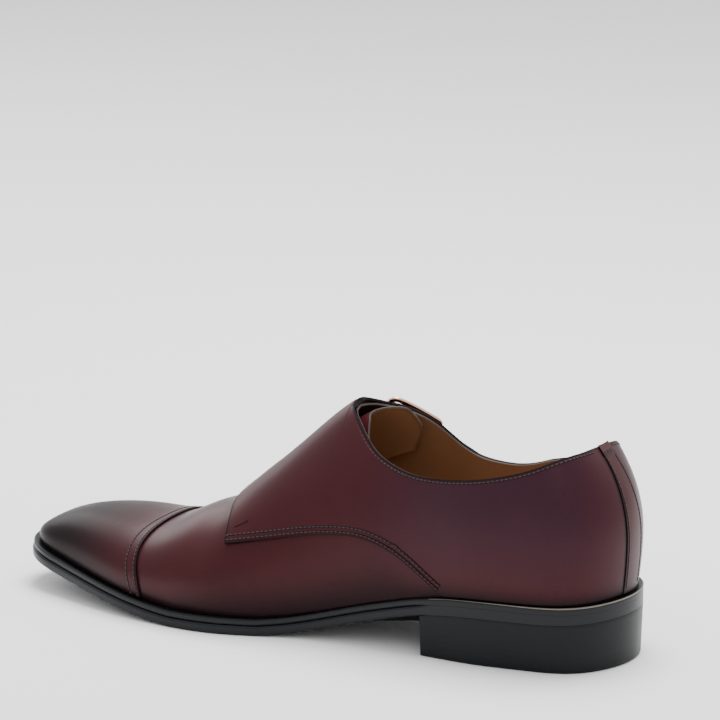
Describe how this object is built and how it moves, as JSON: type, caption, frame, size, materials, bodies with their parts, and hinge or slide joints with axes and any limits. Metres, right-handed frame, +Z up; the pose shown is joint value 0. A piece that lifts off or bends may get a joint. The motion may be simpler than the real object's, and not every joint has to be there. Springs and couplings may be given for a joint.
{
  "type": "monk strap shoe",
  "caption": "Right double monk strap shoe in burgundy leather, open at the collar, with straight toe cap, black leather sole and heel, tan lining and buckled straps.",
  "frame": {"origin": "centre of the heel's face on the floor", "axes": "+X towards the toe, +Y towards the wearer's left, the inner side of this right shoe, +Z up"},
  "size_m": [0.303, 0.1038, 0.1031],
  "materials": {
    "sole_edge": "black painted and waxed sole edge, satin",
    "heel_block": "stacked heel painted black, satin with fine scratches",
    "lining": "tan lining leather, matt",
    "upper_leather": "burgundy calf, burnished and polished",
    "buckle_metal": "polished rose gold plate"
  },
  "bodies": {
    "root": {"outsole": "sole_edge", "welt": "sole_edge", "heel": "heel_block", "insole": "lining", "upper": "upper_leather", "toe_cap": "upper_leather", "inner_quarter": "upper_leather", "outer_quarter": "upper_leather", "backstay": "upper_leather", "tongue": "upper_leather", "upper_buckle": "buckle_metal", "lower_buckle": "buckle_metal", "upper_prong": "buckle_metal", "lower_prong": "buckle_metal"}
  },
  "joints": []
}
